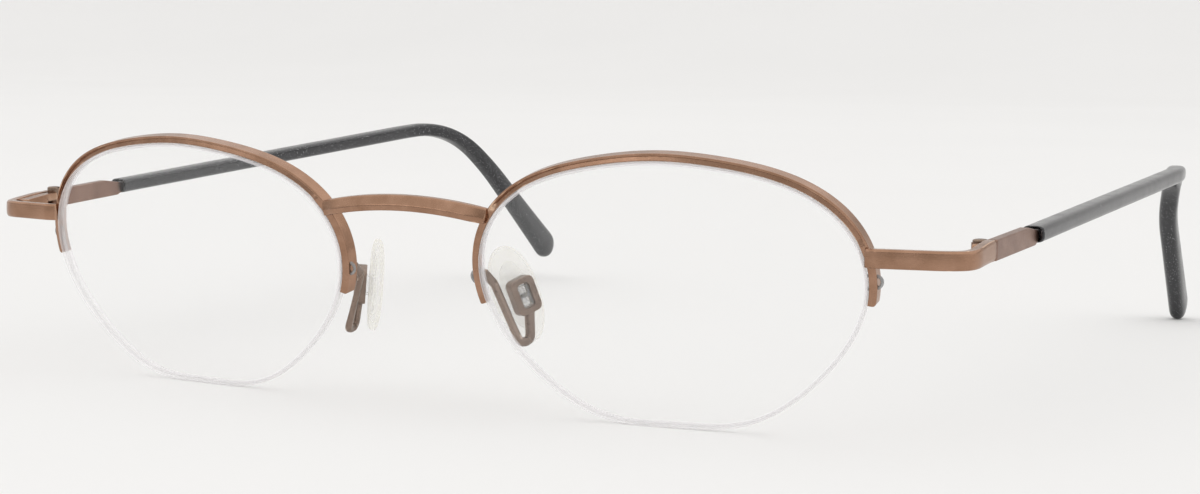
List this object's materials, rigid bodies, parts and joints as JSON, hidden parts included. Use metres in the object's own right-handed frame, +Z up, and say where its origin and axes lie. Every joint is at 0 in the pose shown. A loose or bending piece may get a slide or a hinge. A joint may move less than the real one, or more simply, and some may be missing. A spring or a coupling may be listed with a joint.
{
  "type": "half rim eyeglasses",
  "caption": "Half rim eyeglasses with metal brow rims and bridge, line-held clear lenses, rocking silicone nose pads, and folding temples with sleeved ear ends.",
  "frame": {"origin": "middle of the footprint on the table, with the temples open; x = 0 is the middle of the front, which is within half a millimetre of it", "axes": "+Z up, +X to the wearer's left, the wearer faces -Y, so the lenses are at -Y and the ear tips at +Y"},
  "size_m": [0.1405, 0.151, 0.0329],
  "materials": {
    "front_metal": "satin copper brown",
    "hinge_metal": "satin copper brown",
    "temple_metal": "satin copper brown",
    "screw_steel": "satin",
    "core_steel": "satin",
    "lens_clear": "clear, coated",
    "nylon": "clear nylon",
    "sleeve_black": "glossy black",
    "pad_insert": "clear stiff plastic",
    "pad_silicone": "clear silicone"
  },
  "bodies": {
    "front": {"bridge": "front_metal", "left_rim": "front_metal", "left_lens": "lens_clear", "left_rim_liner": "nylon", "left_nylon_line": "nylon", "left_end_piece": "front_metal", "left_front_leaf": "hinge_metal", "left_hinge_screw": "screw_steel", "left_pad_arm": "front_metal", "right_rim": "front_metal", "right_lens": "lens_clear", "right_rim_liner": "nylon", "right_nylon_line": "nylon", "right_end_piece": "front_metal", "right_front_leaf": "hinge_metal", "right_hinge_screw": "screw_steel", "right_pad_arm": "front_metal"},
    "left_temple": {"left_rear_leaf": "hinge_metal", "left_temple_bar": "temple_metal", "left_core_wire": "core_steel", "left_temple_sleeve": "sleeve_black"},
    "right_temple": {"right_rear_leaf": "hinge_metal", "right_temple_bar": "temple_metal", "right_core_wire": "core_steel", "right_temple_sleeve": "sleeve_black"},
    "left_pad": {"left_pad_core": "pad_insert", "left_nose_pad": "pad_silicone"},
    "right_pad": {"right_pad_core": "pad_insert", "right_nose_pad": "pad_silicone"}
  },
  "joints": [
    {"name": "left_temple_fold", "type": "hinge", "parent": "front", "child": "left_temple", "pos_m": [0.06745, -0.0582, 0.0215], "axis": [0, 0, 1], "range_deg": [0, 90]},
    {"name": "right_temple_fold", "type": "hinge", "parent": "front", "child": "right_temple", "pos_m": [-0.06745, -0.0582, 0.0215], "axis": [0, 0, -1], "range_deg": [0, 84]},
    {"name": "left_pad_rock", "type": "hinge", "parent": "front", "child": "left_pad", "pos_m": [0.01194, -0.06482, 0.01402], "axis": [-0.4795, -0.8006, -0.3594], "range_deg": [-6, 6]},
    {"name": "right_pad_rock", "type": "hinge", "parent": "front", "child": "right_pad", "pos_m": [-0.01194, -0.06482, 0.01402], "axis": [0.4795, -0.8006, -0.3594], "range_deg": [-6, 6]}
  ]
}
